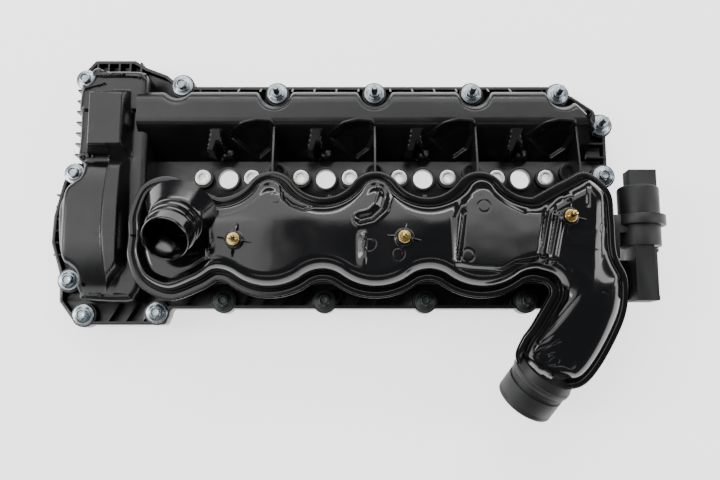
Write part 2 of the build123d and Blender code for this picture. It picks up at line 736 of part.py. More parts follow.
def shaft_seal():
    return rod_x(234, 238, port_y, flap_z, shaft_bore_r) - rod_x(233, 239, port_y, flap_z, shaft_r + clear)


def perimeter_gasket():
    return slab(gasket_ring(2.1, 5.1), -0.8, 1.5)


sub_parts = [
    exhaust_cam_housing, timing_end_housing, intake_cam_housing,
    plenum_lower_shell, plenum_top_shell, crossover_stub, hose_spigot, fixing_studs, perimeter_gasket,
    injector_seals, port_seals, hex_bolts, stud_bolts, bolt_washers, bolt_sleeves, bolt_grommets,
    clamp_sleeves, swirl_flaps, flap_shaft, flap_screws, shaft_bushes, shaft_seal, drive_lever,
    spindle_nut, motor_armature, motor_yoke, motor_magnets, motor_bearings, gearbox_case, gearbox_lid,
    gearbox_screws, actuator_cover, connector_pins, mounting_band, actuator_bracket,
]

made_flange = whole_flange()
print(f"whole flange: {made_flange.volume:.0f} mm3")
for name in flange_cuts:
    save(name, flange_part(name))
made_ports = port_block()
for number in range(1, 9):
    save(f"port_block_{number}", port_block_part(number))
for make in sub_parts:
    made = make()
    save(make.__name__, made if hasattr(made, "solids") else Compound(children=list(made)))
save("bay_webs", Compound(children=bay_webs()))
save("plenum_gussets", Compound(children=plenum_gussets()))
print(f"nut travels {nut_per_radian:.4f} mm per radian from y = {nut_rest_y:.3f}")
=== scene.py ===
import math

import bmesh
import bpy
import numpy as np
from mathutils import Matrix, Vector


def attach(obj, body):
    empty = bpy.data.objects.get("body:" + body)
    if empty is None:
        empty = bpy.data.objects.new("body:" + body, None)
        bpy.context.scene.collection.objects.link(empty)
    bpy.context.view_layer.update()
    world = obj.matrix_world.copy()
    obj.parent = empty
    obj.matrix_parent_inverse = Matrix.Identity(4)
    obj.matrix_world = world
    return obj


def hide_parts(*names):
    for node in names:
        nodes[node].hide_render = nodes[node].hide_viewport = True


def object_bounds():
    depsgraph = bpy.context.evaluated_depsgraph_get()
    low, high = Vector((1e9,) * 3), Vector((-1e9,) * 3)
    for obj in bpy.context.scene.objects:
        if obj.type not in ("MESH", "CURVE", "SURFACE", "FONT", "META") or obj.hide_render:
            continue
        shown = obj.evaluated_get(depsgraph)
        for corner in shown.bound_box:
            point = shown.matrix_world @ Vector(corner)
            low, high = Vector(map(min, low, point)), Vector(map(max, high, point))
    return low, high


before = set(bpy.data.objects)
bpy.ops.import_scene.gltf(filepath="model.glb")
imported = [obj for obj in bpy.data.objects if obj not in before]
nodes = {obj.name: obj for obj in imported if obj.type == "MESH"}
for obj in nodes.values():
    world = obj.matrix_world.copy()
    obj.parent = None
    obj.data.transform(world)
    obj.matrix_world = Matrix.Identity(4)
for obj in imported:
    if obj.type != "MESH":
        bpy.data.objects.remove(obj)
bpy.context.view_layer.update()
print("frame loaded:", len(nodes), "nodes")

cylinderX = np.array([-147.0, -49.0, 49.0, 147.0])
bayX = np.array([-98.0, 0.0, 98.0, 196.0])


# ------------ small tools; everything below is worked out in millimetres
def step(a, b, x):  # smooth rise from 0 at a to 1 at b
    t = np.clip((x - a) / (b - a), 0.0, 1.0)
    return t * t * (3 - 2 * t)


def hump(x, centre, half):  # smooth bell, 1 at the centre and 0 past half each way
    return 1 - step(0.0, half, np.abs(x - centre))


def shoulder(t, n=2.0):  # quarter of a superellipse: upright at t = 0 and level from t = 1
    t = np.clip(t, 0.0, 1.0)
    return (1 - (1 - t) ** n) ** (1 / n)


def softMax(a, b, k):  # the larger of two heights, blended over about k
    h = np.clip(0.5 + 0.5 * (a - b) / k, 0.0, 1.0)
    return b + (a - b) * h + k * h * (1 - h)


def through(keys, count):
    # Catmull-Rom curve through the key rows, sampled evenly in key number
    keys = np.array(keys, dtype=float)
    p = np.vstack([2 * keys[0] - keys[1], keys, 2 * keys[-1] - keys[-2]])
    u = np.linspace(0, len(keys) - 1 - 1e-9, count)
    i = u.astype(int)
    t = (u - i)[:, None]
    a, b, c, d = p[i], p[i + 1], p[i + 2], p[i + 3]
    return 0.5 * (2 * b + (c - a) * t + (2 * a - 5 * b + 4 * c - d) * t**2 + (3 * b - a - 3 * c + d) * t**3)


def insideOf(loop, x, y):
    # even-odd rule, one outline edge at a time: an edge counts if it passes above the point
    inside = np.zeros(x.shape, bool)
    for (x0, y0), (x1, y1) in zip(loop, np.roll(loop, -1, 0)):
        crosses = (y0 > y) != (y1 > y)
        inside ^= crosses & (x < x0 + (y - y0) * (x1 - x0) / np.where(y1 == y0, 1e-9, y1 - y0))
    return inside


def nearLine(x, y, line):
    # distance to an open polyline, one segment at a time
    best = np.full(x.shape, 1e9)
    for (x0, y0), (x1, y1) in zip(line[:-1], line[1:]):
        dx, dy = x1 - x0, y1 - y0
        t = np.clip(((x - x0) * dx + (y - y0) * dy) / (dx * dx + dy * dy), 0, 1)
        best = np.minimum(best, np.hypot(x - x0 - t * dx, y - y0 - t * dy))
    return best


def depthIn(x, y, loop):
    # distance in from a closed outline, negative outside it
    loop = np.array(loop, dtype=float)
    near = nearLine(x, y, np.vstack([loop, loop[:1]]))
    return np.where(insideOf(loop, x, y), near, -near)


def gridFaces(rows, cols, wrapRows=False, wrapCols=False):
    # quads of a grid numbered row by row; a wrapped side joins its last line to its first
    r = np.arange(rows if wrapRows else rows - 1)[:, None]
    c = np.arange(cols if wrapCols else cols - 1)[None, :]
    down, right = (r + 1) % rows, (c + 1) % cols
    return np.stack([r * cols + c, down * cols + c, down * cols + right, r * cols + right], -1).reshape(-1, 4)


def addPiece(name, points, faces, body, slotName, material, replaced=(), wall=0.0, bevel=0.0, sharp=38, turn=True):
    # points in millimetres, faces as rows of corner numbers; doubled points are merged and faces turned outwards
    mesh = bpy.data.meshes.new(name)
    mesh.from_pydata((np.asarray(points, dtype=float).reshape(-1, 3) / 1000).tolist(), [], np.asarray(faces).tolist())
    work = bmesh.new()
    work.from_mesh(mesh)
    bmesh.ops.remove_doubles(work, verts=work.verts, dist=0.00002)
    bmesh.ops.dissolve_degenerate(work, edges=work.edges, dist=0.00001)
    if not wall and turn:
        bmesh.ops.recalc_face_normals(work, faces=work.faces)
    elif wall and sum(f.normal.z * f.calc_area() for f in work.faces) * wall < 0:
        bmesh.ops.reverse_faces(work, faces=work.faces)
    work.to_mesh(mesh)
    work.free()
    piece = bpy.data.objects.new(name, mesh)
    bpy.context.scene.collection.objects.link(piece)
    if wall:
        solid = piece.modifiers.new("wall", "SOLIDIFY")
        solid.thickness, solid.offset = abs(wall) / 1000, -1
    finishPiece(piece, material, bevel, sharp)
    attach(piece, body)
    if replaced:
        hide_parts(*replaced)
    return piece


def finishPiece(piece, material, bevel=0.0, sharp=38):
    piece.data.materials.clear()
    piece.data.materials.append(material)
    piece.data.shade_smooth()
    if bevel:
        edge = piece.modifiers.new("edge", "BEVEL")
        edge.width, edge.segments, edge.limit_method = bevel / 1000, 2, "ANGLE"
        edge.angle_limit, edge.harden_normals = math.radians(sharp - 6), False
    split = piece.modifiers.new("split", "EDGE_SPLIT")
    split.split_angle = math.radians(sharp)


def facing(axis):
    # three unit rows: two across the axis, then the axis itself
    w = np.array(axis, dtype=float) / np.linalg.norm(axis)
    u = np.cross([0, 1, 0] if abs(w[1]) < 0.9 else [1, 0, 0], w)
    u /= np.linalg.norm(u)
    return np.array([u, np.cross(w, u), w])


def turned(profile, segments=48, radiusAt=None):
    # closed r, h outline swept round an axis: point = (r cos a, r sin a, h); radiusAt may limit r by angle
    profile = np.array(profile, dtype=float)
    angle = np.arange(segments) * 2 * np.pi / segments
    r, h = profile[:, :1] + 0 * angle, profile[:, 1:] + 0 * angle
    if radiusAt is not None:
        r = radiusAt(r, h, angle)
    return np.stack([r * np.cos(angle), r * np.sin(angle), h], -1), gridFaces(len(profile), segments, True, True)


def copies(points, faces, places, axes=((0, 0, 1),)):
    # the same shape at each place, its own z turned to the axis there
    flat = points.reshape(-1, 3)
    axes = list(axes) * (len(places) if len(axes) == 1 else 1)
    moved = [flat @ facing(a) + np.array(p) for p, a in zip(places, axes)]
    return np.concatenate(moved), np.concatenate([faces + i * len(flat) for i in range(len(places))])


def plate(outline, low, high, axis="z"):
    # flat plate: an outline of up to a few corners, raised from low to high along one axis
    flat = np.array(outline, dtype=float)
    n = len(flat)
    ends = [np.insert(flat, "xyz".index(axis), h, axis=1) for h in (low, high)]
    sides = [[i, (i + 1) % n, n + (i + 1) % n, n + i] for i in range(n)]
    return np.vstack(ends), sides + [list(range(n))[::-1], list(range(n, 2 * n))]


# ------------ materials
def linear(code):
    # sRGB hex to linear light
    c = np.array([int(code[i:i + 2], 16) / 255 for i in (1, 3, 5)])
    return (*np.where(c <= 0.04045, c / 12.92, ((c + 0.055) / 1.055) ** 2.4), 1.0)


def addNode(tree, kind, settings=None, links=None):
    # one node; settings go to its sockets or its own fields, links are socket: output
    node = tree.nodes.new(kind)
    for key, value in (settings or {}).items():
        if isinstance(key, int) or key in node.inputs:
            node.inputs[key].default_value = value
        else:
            setattr(node, key, value)
    for key, output in (links or {}).items():
        tree.links.new(output, node.inputs[key])
    return node


def newMaterial(name, shader):
    material = bpy.data.materials.new(name)
    material.use_nodes = True
    tree = material.node_tree
    tree.nodes.clear()
    surface = addNode(tree, "ShaderNodeBsdfPrincipled", shader)
    addNode(tree, "ShaderNodeOutputMaterial", links={"Surface": surface.outputs[0]})
    place = addNode(tree, "ShaderNodeTexCoord")
    return material, tree, surface, place.outputs["Object"]


def moulded(name, look):
    # moulded plastic: a fine skin of fibre ends, and slow patches where the melt cooled differently
    material, tree, surface, place = newMaterial(name, {
        "Base Color": linear(look["colour"]), "IOR": 1.53,
        "Coat Weight": look["skin"], "Coat Roughness": look["skinRough"]})
    patches = addNode(tree, "ShaderNodeTexNoise", {"Scale": 1 / look["patch"], "Detail": 3.0}, {"Vector": place})
    rough = addNode(tree, "ShaderNodeMapRange", {"To Min": look["rough"][0], "To Max": look["rough"][1],
                                                 "From Min": 0.35, "From Max": 0.65}, {"Value": patches.outputs[0]})
    tree.links.new(rough.outputs[0], surface.inputs["Roughness"])
    grain = addNode(tree, "ShaderNodeTexNoise", {"Scale": 1 / look["grain"], "Detail": 2.0}, {"Vector": place})
    sag = addNode(tree, "ShaderNodeTexNoise", {"Scale": 1 / look["sag"], "Detail": 1.0}, {"Vector": place})
    wave = addNode(tree, "ShaderNodeBump", {"Strength": look["sagDepth"], "Distance": 0.002},
                   {"Height": sag.outputs[0]})
    bump = addNode(tree, "ShaderNodeBump", {"Strength": look["grainDepth"], "Distance": 0.0002},
                   {"Height": grain.outputs[0], "Normal": wave.outputs[0]})
    tree.links.new(bump.outputs[0], surface.inputs["Normal"])
    return material


def metal(name, look):
    # plated or turned metal: one colour with slow tone changes and fine tool or crystal grain
    material, tree, surface, place = newMaterial(name, {"Metallic": 1.0})
    stretch = addNode(tree, "ShaderNodeMapping", {"Scale": look["stretch"]}, {"Vector": place})
    grain = addNode(tree, "ShaderNodeTexNoise", {"Scale": 1 / look["grain"], "Detail": 3.0},
                    {"Vector": stretch.outputs[0]})
    tone = addNode(tree, "ShaderNodeTexNoise", {"Scale": 1 / look["patch"], "Detail": 2.0}, {"Vector": place})
    colour = addNode(tree, "ShaderNodeMix", {"data_type": "RGBA"}, {"Factor": tone.outputs[0]})
    colour.inputs[6].default_value, colour.inputs[7].default_value = linear(look["dark"]), linear(look["light"])
    tree.links.new(colour.outputs[2], surface.inputs["Base Color"])
    rough = addNode(tree, "ShaderNodeMapRange", {"To Min": look["rough"][0], "To Max": look["rough"][1]},
                    {"Value": grain.outputs[0]})
    tree.links.new(rough.outputs[0], surface.inputs["Roughness"])
    bump = addNode(tree, "ShaderNodeBump", {"Strength": look["depth"], "Distance": 0.0001},
                   {"Height": grain.outputs[0]})
    tree.links.new(bump.outputs[0], surface.inputs["Normal"])
    return material


# glass-filled nylon from a spark-eroded mould: near black, satin, with a faint fibre grain
satinNylon = moulded("glassFilledNylonSatin", {
    "colour": "#0f0f10", "rough": (0.24, 0.38), "skin": 0.0, "skinRough": 0.2,
    "patch": 0.045, "grain": 0.0007, "grainDepth": 0.18, "sag": 0.03, "sagDepth": 0.25})
# the same nylon from a polished mould: wet-looking, soft waves where the thick wall sank
glossNylon = moulded("glassFilledNylonPolished", {
    "colour": "#0a0a0b", "rough": (0.10, 0.20), "skin": 0.25, "skinRough": 0.06,
    "patch": 0.06, "grain": 0.0006, "grainDepth": 0.05, "sag": 0.035, "sagDepth": 0.35})
# unfilled matt nylon of the bought-in actuator and the hose collar
mattNylon = moulded("polyamideMatt", {
    "colour": "#131314", "rough": (0.46, 0.60), "skin": 0.0, "skinRough": 0.3,
    "patch": 0.03, "grain": 0.0008, "grainDepth": 0.35, "sag": 0.02, "sagDepth": 0.1})
sealRubber = moulded("acrylicRubberMoulded", {
    "colour": "#1a1a1b", "rough": (0.6, 0.75), "skin": 0.0, "skinRough": 0.3,
    "patch": 0.01, "grain": 0.0008, "grainDepth": 0.3, "sag": 0.02, "sagDepth": 0.1})
acetal = moulded("acetalNatural", {
    "colour": "#d8d5c8", "rough": (0.35, 0.45), "skin": 0.0, "skinRough": 0.3,
    "patch": 0.01, "grain": 0.0008, "grainDepth": 0.1, "sag": 0.02, "sagDepth": 0.1})
# electroplated zinc with a clear blue passivation: bright, cool, slightly cloudy
zincPlate = metal("zincPlatedSteel", {
    "dark": "#7f898f", "light": "#b6bfc4", "rough": (0.20, 0.34), "grain": 0.0012, "patch": 0.008,
    "depth": 0.25, "stretch": (1, 1, 1)})
# the same zinc-plated screws in the row that lies in the plenum's shadow: painted shade, a darker and duller grey-green
# copy of the zinc standing in for that shadow
paintedShadeZinc = metal("zincPlatedSteelPaintedShade", {
    "dark": "#3a3f3d", "light": "#59605d", "rough": (0.38, 0.55), "grain": 0.001, "patch": 0.006,
    "depth": 0.3, "stretch": (1, 1, 1)})
turnedSteel = metal("machinedSleeveSteel", {
    "dark": "#c4c3bd", "light": "#eceae4", "rough": (0.28, 0.42), "grain": 0.0008, "patch": 0.01,
    "depth": 0.3, "stretch": (1, 1, 4)})
machinedBrass = metal("machinedBrass", {
    "dark": "#b08c45", "light": "#e6cd8c", "rough": (0.18, 0.3), "grain": 0.0008, "patch": 0.01,
    "depth": 0.25, "stretch": (1, 1, 5)})
ferrite = metal("sinteredFerrite", {
    "dark": "#2b2b2d", "light": "#3a3a3c", "rough": (0.5, 0.7), "grain": 0.0012, "patch": 0.01,
    "depth": 0.4, "stretch": (1, 1, 1)})
print("materials ready")


# ------------ CAD nodes whose shape is right keep it, with a finish and broken edges
keptFinish = {
    "plenum_gussets": (satinNylon, 0.4), "intake_cam_housing": (satinNylon, 0.8),
    "bay_webs": (satinNylon, 0.35), "perimeter_gasket": (sealRubber, 0.25),
    "injector_seals": (sealRubber, 0.3), "port_seals": (sealRubber, 0.3), "bolt_sleeves": (zincPlate, 0.25),
    "bolt_grommets": (sealRubber, 0.3), "clamp_sleeves": (turnedSteel, 0.6), "swirl_flaps": (turnedSteel, 0.2),
    "flap_shaft": (turnedSteel, 0.3), "flap_screws": (zincPlate, 0.2), "shaft_bushes": (machinedBrass, 0.2),
    "shaft_seal": (sealRubber, 0.2), "drive_lever": (acetal, 0.3), "spindle_nut": (machinedBrass, 0.4),
    "motor_armature": (turnedSteel, 0.4), "motor_yoke": (zincPlate, 0.5), "motor_magnets": (ferrite, 0.4),
    "motor_bearings": (machinedBrass, 0.3), "gearbox_case": (mattNylon, 0.9), "gearbox_lid": (mattNylon, 0.7),
    "gearbox_screws": (zincPlate, 0.4), "connector_pins": (machinedBrass, 0.1), "mounting_band": (mattNylon, 0.8),
    "actuator_bracket": (satinNylon, 0.9), "actuator_cover": (mattNylon, 0.8)}
for name, (material, edgeWidth) in keptFinish.items():
    weld = nodes[name].modifiers.new("weld", "WELD")
    weld.merge_threshold = 0.00001
    finishPiece(nodes[name], material, edgeWidth, 34)
print("kept nodes finished")


# ------------ mouldings held as several CAD nodes, closed up again: the faces in the cuts go, the rest is welded
closedUp = {
    "coverFlange": {
        "nodes": ("flange_exhaust_side", "flange_exhaust_corner", "flange_timing_head", "flange_timing_step",
                  "flange_timing_upper", "flange_timing_waist", "flange_timing_lower", "flange_timing_corner",
                  "flange_timing_foot", "flange_bolt_side", "flange_actuator_end", "injector_platform"),
        "cutX": (-284, -277, -236, -222, -200, -184, 196, 206),
        "cutY": (-122, -116, -83, -72, -38, -17, 23, 27, 64), "edge": 0.5},
    "portBlock": {
        "nodes": tuple("port_block_%d" % n for n in range(1, 9)),
        "cutX": (-147, -98, -49, 0, 49, 98, 147), "cutY": (), "edge": 0.6}}


def closeUp(name, setup):
    work = bmesh.new()
    for node in setup["nodes"]:
        work.from_mesh(nodes[node].data)
    bmesh.ops.remove_doubles(work, verts=work.verts, dist=0.00002)
    inCut = []
    for face in work.faces:
        spots = np.array([v.co for v in face.verts]) * 1000
        low, high = spots.min(0), spots.max(0)
        if any(high[axis] - low[axis] < 0.01 and abs(low[axis] - cut) < 0.01
               for axis, cuts in ((0, setup["cutX"]), (1, setup["cutY"])) for cut in cuts):
            inCut.append(face)
    bmesh.ops.delete(work, geom=inCut, context="FACES")
    mesh = bpy.data.meshes.new(name)
    work.to_mesh(mesh)
    work.free()
    piece = bpy.data.objects.new(name, mesh)
    bpy.context.scene.collection.objects.link(piece)
    finishPiece(piece, satinNylon, setup["edge"], 34)
    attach(piece, "cover")
    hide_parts(*setup["nodes"])


for name, setup in closedUp.items():
    closeUp(name, setup)
print("split mouldings closed up")


# ------------ surfaces laid over an outline
def inward(loop, closed):
    # unit normals to the left of travel, from the chord between each point's neighbours
    ahead = np.roll(loop, -1, 0) - np.roll(loop, 1, 0)
    if not closed:
        ahead[0], ahead[-1] = loop[1] - loop[0], loop[-1] - loop[-2]
    ahead /= np.linalg.norm(ahead, axis=1, keepdims=True)
    return np.stack([-ahead[:, 1], ahead[:, 0]], -1)


def distanceTo(loop, xy, closed):
    # shortest distance from each point to the outline's segments, in blocks to save memory
    start = loop if closed else loop[:-1]
    run = (np.roll(loop, -1, 0) - loop) if closed else np.diff(loop, axis=0)
    length = (run**2).sum(1) + 1e-12
    flat = xy.reshape(-1, 2)
    result = np.empty(len(flat))
    for a in range(0, len(flat), 4000):
        gap = flat[a:a + 4000, None] - start
        t = np.clip((gap * run).sum(-1) / length, 0, 1)
        result[a:a + 4000] = np.sqrt(((gap - t[..., None] * run) ** 2).sum(-1)).min(1)
    return result.reshape(xy.shape[:-1])


def overOutline(loop, spine, steps, rows, closed=True):
    # plan of a cover: rows at fixed steps in from the outline, then straight on to each point's place on the spine
    offsets = loop + inward(loop, closed) * np.array(steps)[:, None, None]
    t = (np.linspace(0, 1, rows + 1)[1:] ** 0.9)[:, None, None]
    plan = np.concatenate([offsets, offsets[-1] * (1 - t) + spine * t])
    depth = np.concatenate([np.repeat(np.array(steps)[:, None], len(loop), 1),
                            distanceTo(loop, plan[len(steps):], closed)])
    share = np.concatenate([np.zeros((len(steps), len(loop))), np.repeat(t[:, :, 0], len(loop), 1)])
    return plan, depth, share


# ------------ plenum: edge, spine and opposite edge are matched station by station
plenum = {
    "weldHeight": 58.0, "flangeRise": 3.0, "edgeGap": 1.0, "band": 8.0, "crown": 25.0, "floorDrop": 20.0,
    "shoulderTop": 15.0, "shoulderFloor": 6.0, "shelfDrop": 13.0, "wall": 2.4}


def scallop(x, crest, dip, crestX, crestRadius):
    # edge made of arcs: round each crest with crestRadius, and round each dip so that the arcs meet level to level
    rise = abs(crest - dip)
    both = (49.0**2 + rise**2) / (2 * rise)
    u = np.abs((x - crestX + 49.0) % 98.0 - 49.0)
    dipRadius = both - crestRadius
    nearCrest = rise - (crestRadius - np.sqrt(np.maximum(crestRadius**2 - u**2, 0)))
    nearDip = dipRadius - np.sqrt(np.maximum(dipRadius**2 - (49.0 - u) ** 2, 0))
    return dip + np.sign(crest - dip) * np.where(u < 49.0 * crestRadius / both, nearCrest, nearDip)


straightX = np.linspace(-147, 147, 330)
lowFan = through([(-230.5, -66), (-230.5, -88), (-218, -113.5), (-190, -126), (-162, -117), (-147, -108)], 80)
upFan = through([(-230.5, -66), (-230.5, -44), (-219, -17), (-194, -8.5), (-167, -21), (-147, -29)], 80)
midFan = through([(-229.5, -66), (-200, -66), (-188, -66), (-176, -66), (-162, -65), (-147, -64)], 80)
lowElbow = through([(147, -108), (158, -111.5), (160.8, -118.5), (157, -126.5), (150, -138), (143, -149.5),
                    (134.5, -162), (130, -178), (140.5, -196), (156.5, -207)], 170)
upElbow = through([(147, -29), (178, -12), (199, -4.5), (220.5, -23), (224, -50), (225.5, -82), (235.6, -108),
                   (230, -148), (196, -202), (156.5, -207)], 170)
midElbow = through([(147, -64), (164, -60), (179, -62), (189, -74), (194, -92), (196, -112), (190, -136),
                    (180, -156), (168, -174), (157, -200)], 170)
elbowDrop = [0, 0, 0, 0, 0.5, 2, 5.5, 10.5, 16.5, 21]
heightElbow = plenum["weldHeight"] - through([(d,) for d in elbowDrop], 170)[:, 0]
lowEdge = np.vstack([lowFan[:-1], np.stack([straightX, scallop(straightX, -108, -124, -49, 20)], -1)[:-1], lowElbow])
upEdge = np.vstack([upFan[:-1], np.stack([straightX, scallop(straightX, -4, -29, 0, 26)], -1)[:-1], upElbow])
middle = np.vstack([midFan[:-1], np.stack([straightX, straightX * 0 - 64], -1)[:-1], midElbow])
weldLine = np.concatenate([np.full(len(middle) - 170, plenum["weldHeight"]), heightElbow])
# 0 in the plenum, rising to 1 over the hose collar
along = np.concatenate([np.zeros(len(middle) - 170), np.linspace(0, 1, 170)])
edgeLoop = np.vstack([lowEdge[::-1], upEdge[1:-1]])      # from the collar, round the closed end, and back
spineLoop = np.vstack([middle[::-1], middle[1:-1]])
loopHeight = np.concatenate([weldLine[::-1], weldLine[1:-1]])
loopAlong = np.concatenate([along[::-1], along[1:-1]])
if np.cross(edgeLoop[200] - edgeLoop[190], spineLoop[195] - edgeLoop[195]) < 0:
    edgeLoop, spineLoop = edgeLoop[::-1], spineLoop[::-1]
    loopHeight, loopAlong = loopHeight[::-1], loopAlong[::-1]

topLook = {
    "channel": [(-90, -24), (-86, -36), (-79, -43), (-66, -47.5), (-55, -43), (-42, -35.5), (-30, -28), (-24, -18)],
    "hook": [(8, -16), (9, -30), (5, -43), (-4, -51.5), (-14, -54)],
    "creaseLeft": [(76, -32), (67, -52), (68.5, -96)], "slit": [(79.5, -50), (74.5, -88)],
    "plateau": [(80, -41), (86, -33.5), (94.5, -34.5), (106.5, -31.5), (120.5, -41), (135, -49), (147, -38), (157, -36),
                (147, -90), (135, -92), (125.5, -93), (112.5, -100), (87, -98.5), (73, -96)],
    "bars": [[(160.5, -38), (150.5, -90)], [(167, -52), (158.5, -91)]],
    "endFlat": [(171, -57), (186, -60), (204, -57), (214, -54), (212, -85), (198, -84.5), (171, -82)],
    "endCrease": [(194, -16), (193, -41)], "lens": (-13.5, -64.0, -101.0),
    "rings": [(-92, -34), (-6, -77), (20, -86), (98, -43), (82, -88), (209, -62), (205, -125), (160, -180)],
    "bosses": [(-128, -73.5), (25.5, -71.5), (175, -52.5)], "steps": 3.2}


def plenumFeatures(x, y):
    # height changes on the top, each named by what it shapes
    look = topLook
    # crown across: height falls with the square of the distance past a level strip
    z = -0.0017 * np.maximum(y + 76, 0) ** 2 * (1 - step(62, 84, x))
    z -= 0.0016 * np.maximum(-(y + 88), 0) ** 2 * (1 - step(130, 158, x))
    z -= 0.0011 * np.maximum(-(x + 92), 0) ** 2                    # first section leans to the left
    shelf = depthIn(x, y, [(-240, -140), (-160, -140), (-150, -92), (-153, -40), (-170, 10), (-240, 10)])
    z = z * (1 - step(-1, 3, shelf)) - plenum["shelfDrop"] * step(-0.5, 5.5, shelf)
    channel = depthIn(x, y, look["channel"] + [(-24, 30), (-90, 30)])
    z -= 5.5 * step(-0.5, 5.0, channel) + 1.4 * hump(channel, 3.2, 2.4)
    hook = nearLine(x, y, look["hook"])
    z -= 2.6 * (1 - step(0.3, 5.0, hook)) - 0.8 * hump(hook, 6.4, 2.2)
    lensX, lensTop, lensLow = look["lens"]
    taper = step(lensLow, lensLow + 16, y) * (1 - step(lensTop - 7, lensTop, y))
    z += 2.4 * step(-5, 3.6, x - lensX) * (1 - step(3.6, 5.2, x - lensX)) * taper
    # section 4 stands higher and tips back; a slanting band and a slit lead up to it
    plateau = depthIn(x, y, look["plateau"])
    band = depthIn(x, y, look["creaseLeft"] + [(74, -98), (84, -40)])
    z += look["steps"] * 0.75 * step(0, 7, band)
    z += (look["steps"] - 0.085 * (y + 66)) * step(-2.4, 2.4, plateau)
    z -= 2.2 * (1 - step(0.6, 2.8, nearLine(x, y, look["slit"])))
    for bar in look["bars"]:
        z += 2.6 * (1 - step(1.0, 5.0, nearLine(x, y, bar)))
    z -= 1.6 * (1 - step(0.5, 2.6, nearLine(x, y, [(155.5, -38), (146.4, -90)])))
    z -= 0.05 * (y + 70) * step(0, 6, depthIn(x, y, look["endFlat"]))
    z -= 1.0 * (1 - step(0.4, 2.4, nearLine(x, y, look["endCrease"])))
    z += 3.0 * (1 - step(2.0, 5.0, np.hypot(x - 175, y + 33)))
    for bx in bayX[:3]:
        z -= 5.0 * hump(x, bx, 26) * step(-32, -12, y) * (1 - step(-1, 3, channel))   # facet that falls to each crest
    for cx, cy in look["rings"]:
        z -= 0.35 * hump(np.hypot(x - cx, y - cy), 5.6, 0.9)
    for cx, cy in look["bosses"]:
        z += 2.0 * (1 - step(6.8, 8.4, np.hypot(x - cx, y - cy)))
    return z


def plenumShell(upper):
    s = plenum
    gap = s["edgeGap"] if upper else 0.0
    steps = gap + np.array([0, 0, 0, 0.35, 1.0, 3.0, 5.2, 6.2, 6.6, 6.9, 7.3, 7.7, 8.1, 8.6, 9.2, 10.0, 11.0, 12.0])
    plan, depth, share = overOutline(edgeLoop, spineLoop, steps, 44 if upper else 20)
    reach = distanceTo(edgeLoop, spineLoop, True) - s["band"] - gap
    elbowness = step(0.25, 0.6, loopAlong)
    radius = (s["shoulderTop"] if upper else s["shoulderFloor"]) * (1 - elbowness) + np.maximum(reach, 16) * elbowness
    inside = np.maximum(depth - s["band"] - gap, 0)
    rise = shoulder(inside / radius, 2.1)
    if upper:
        z = loopHeight + s["flangeRise"] + (s["crown"] - s["flangeRise"]) * rise
        z += plenumFeatures(plan[..., 0], plan[..., 1]) * step(2, 12, inside)
        z[0] = loopHeight - 0.2
        z[1:4] = loopHeight + s["flangeRise"] - np.array([0.8, 0.35, 0.05])[:, None]
        # groove inside the flat band, then the bead at the foot of the dome
        z += (-1.3 * hump(depth, 7.4, 0.75) + 1.0 * hump(depth, 8.7, 0.9)) * (share == 0) * (depth > 3)
    else:
        z = loopHeight - 4.0 - (s["floorDrop"] - 4.0 + 7 * elbowness) * rise
        z[0] = loopHeight - 0.2
        z[1:4] = loopHeight - np.array([3.2, 3.7, 3.95])[:, None]
    return np.stack([plan[..., 0], plan[..., 1], z], -1)


def openedFor(points, faces, at, axis, radius, start, end):
    # drops the faces that stand inside a pipe's bore
    centre = points.reshape(-1, 3)[faces].mean(1) - np.array(at)
    axis = np.array(axis) / np.linalg.norm(axis)
    s = centre @ axis
    away = np.linalg.norm(centre - s[:, None] * axis, axis=1)
    return faces[~((away < radius) & (s > start) & (s < end))]


stub = {"mouth": (-183.0, -78.0, 115.0), "axis": (-0.10, -0.60, 0.79)}
spigot = {"at": (157.0, -195.0, 36.0), "axis": (-0.462, -0.734, -0.5)}


def plenumPiece(name, upper, slotName, material, node):
    outer = plenumShell(upper)
    # the inner skin is the same surface on every third line, moved in by the wall; both share the rim
    inner = outer[np.r_[0, 4:len(outer) - 1:3, len(outer) - 1]][:, ::2].copy()
    inner[1:, :, 2] -= plenum["wall"] if upper else -plenum["wall"]
    parts = []
    for grid in (outer, inner):
        faces = gridFaces(*grid.shape[:2], False, True)
        faces = openedFor(grid, faces, stub["mouth"], stub["axis"], 18.8, -60, 0) if upper else faces
        parts.append((grid, openedFor(grid, faces, spigot["at"], spigot["axis"], 24.5, -7, 40)))
    faces = np.concatenate([parts[0][1], parts[1][1][:, ::-1] + outer.reshape(-1, 3).shape[0]])
    points = np.concatenate([outer.reshape(-1, 3), inner.reshape(-1, 3)])
    normal = np.cross(outer[20, 301] - outer[20, 300], outer[21, 300] - outer[20, 300])
    if (normal[2] < 0) == upper:
        faces = faces[:, ::-1]
    return addPiece(name, points, faces, "cover", slotName, material, [node], turn=False, sharp=50)


plenumPiece("plenumTopShell", True, "gloss_shell", glossNylon, "plenum_top_shell")
plenumPiece("plenumLowerShell", False, "cover_nylon", satinNylon, "plenum_lower_shell")
print("plenum shells made")


# ------------ pipe ends
points, faces = turned([
    (25.0, -9.0), (27.6, -9.0), (28.6, -1.0), (29.4, -0.4), (29.4, 3.4), (28.8, 4.2), (28.0, 4.6), (28.0, 8.6),
    (26.6, 9.0), (26.6, 12.0), (28.0, 12.4), (28.0, 26.0), (27.7, 27.4), (27.7, 28.4), (28.0, 29.6), (28.0, 31.6),
    (27.7, 32.5), (27.0, 33.0), (25.6, 33.0), (25.0, 32.4)], 96)
points, faces = copies(points, faces, [spigot["at"]], [spigot["axis"]])
addPiece("hoseSpigot", points, faces, "cover", "matte_nylon", mattNylon, ["hose_spigot"])

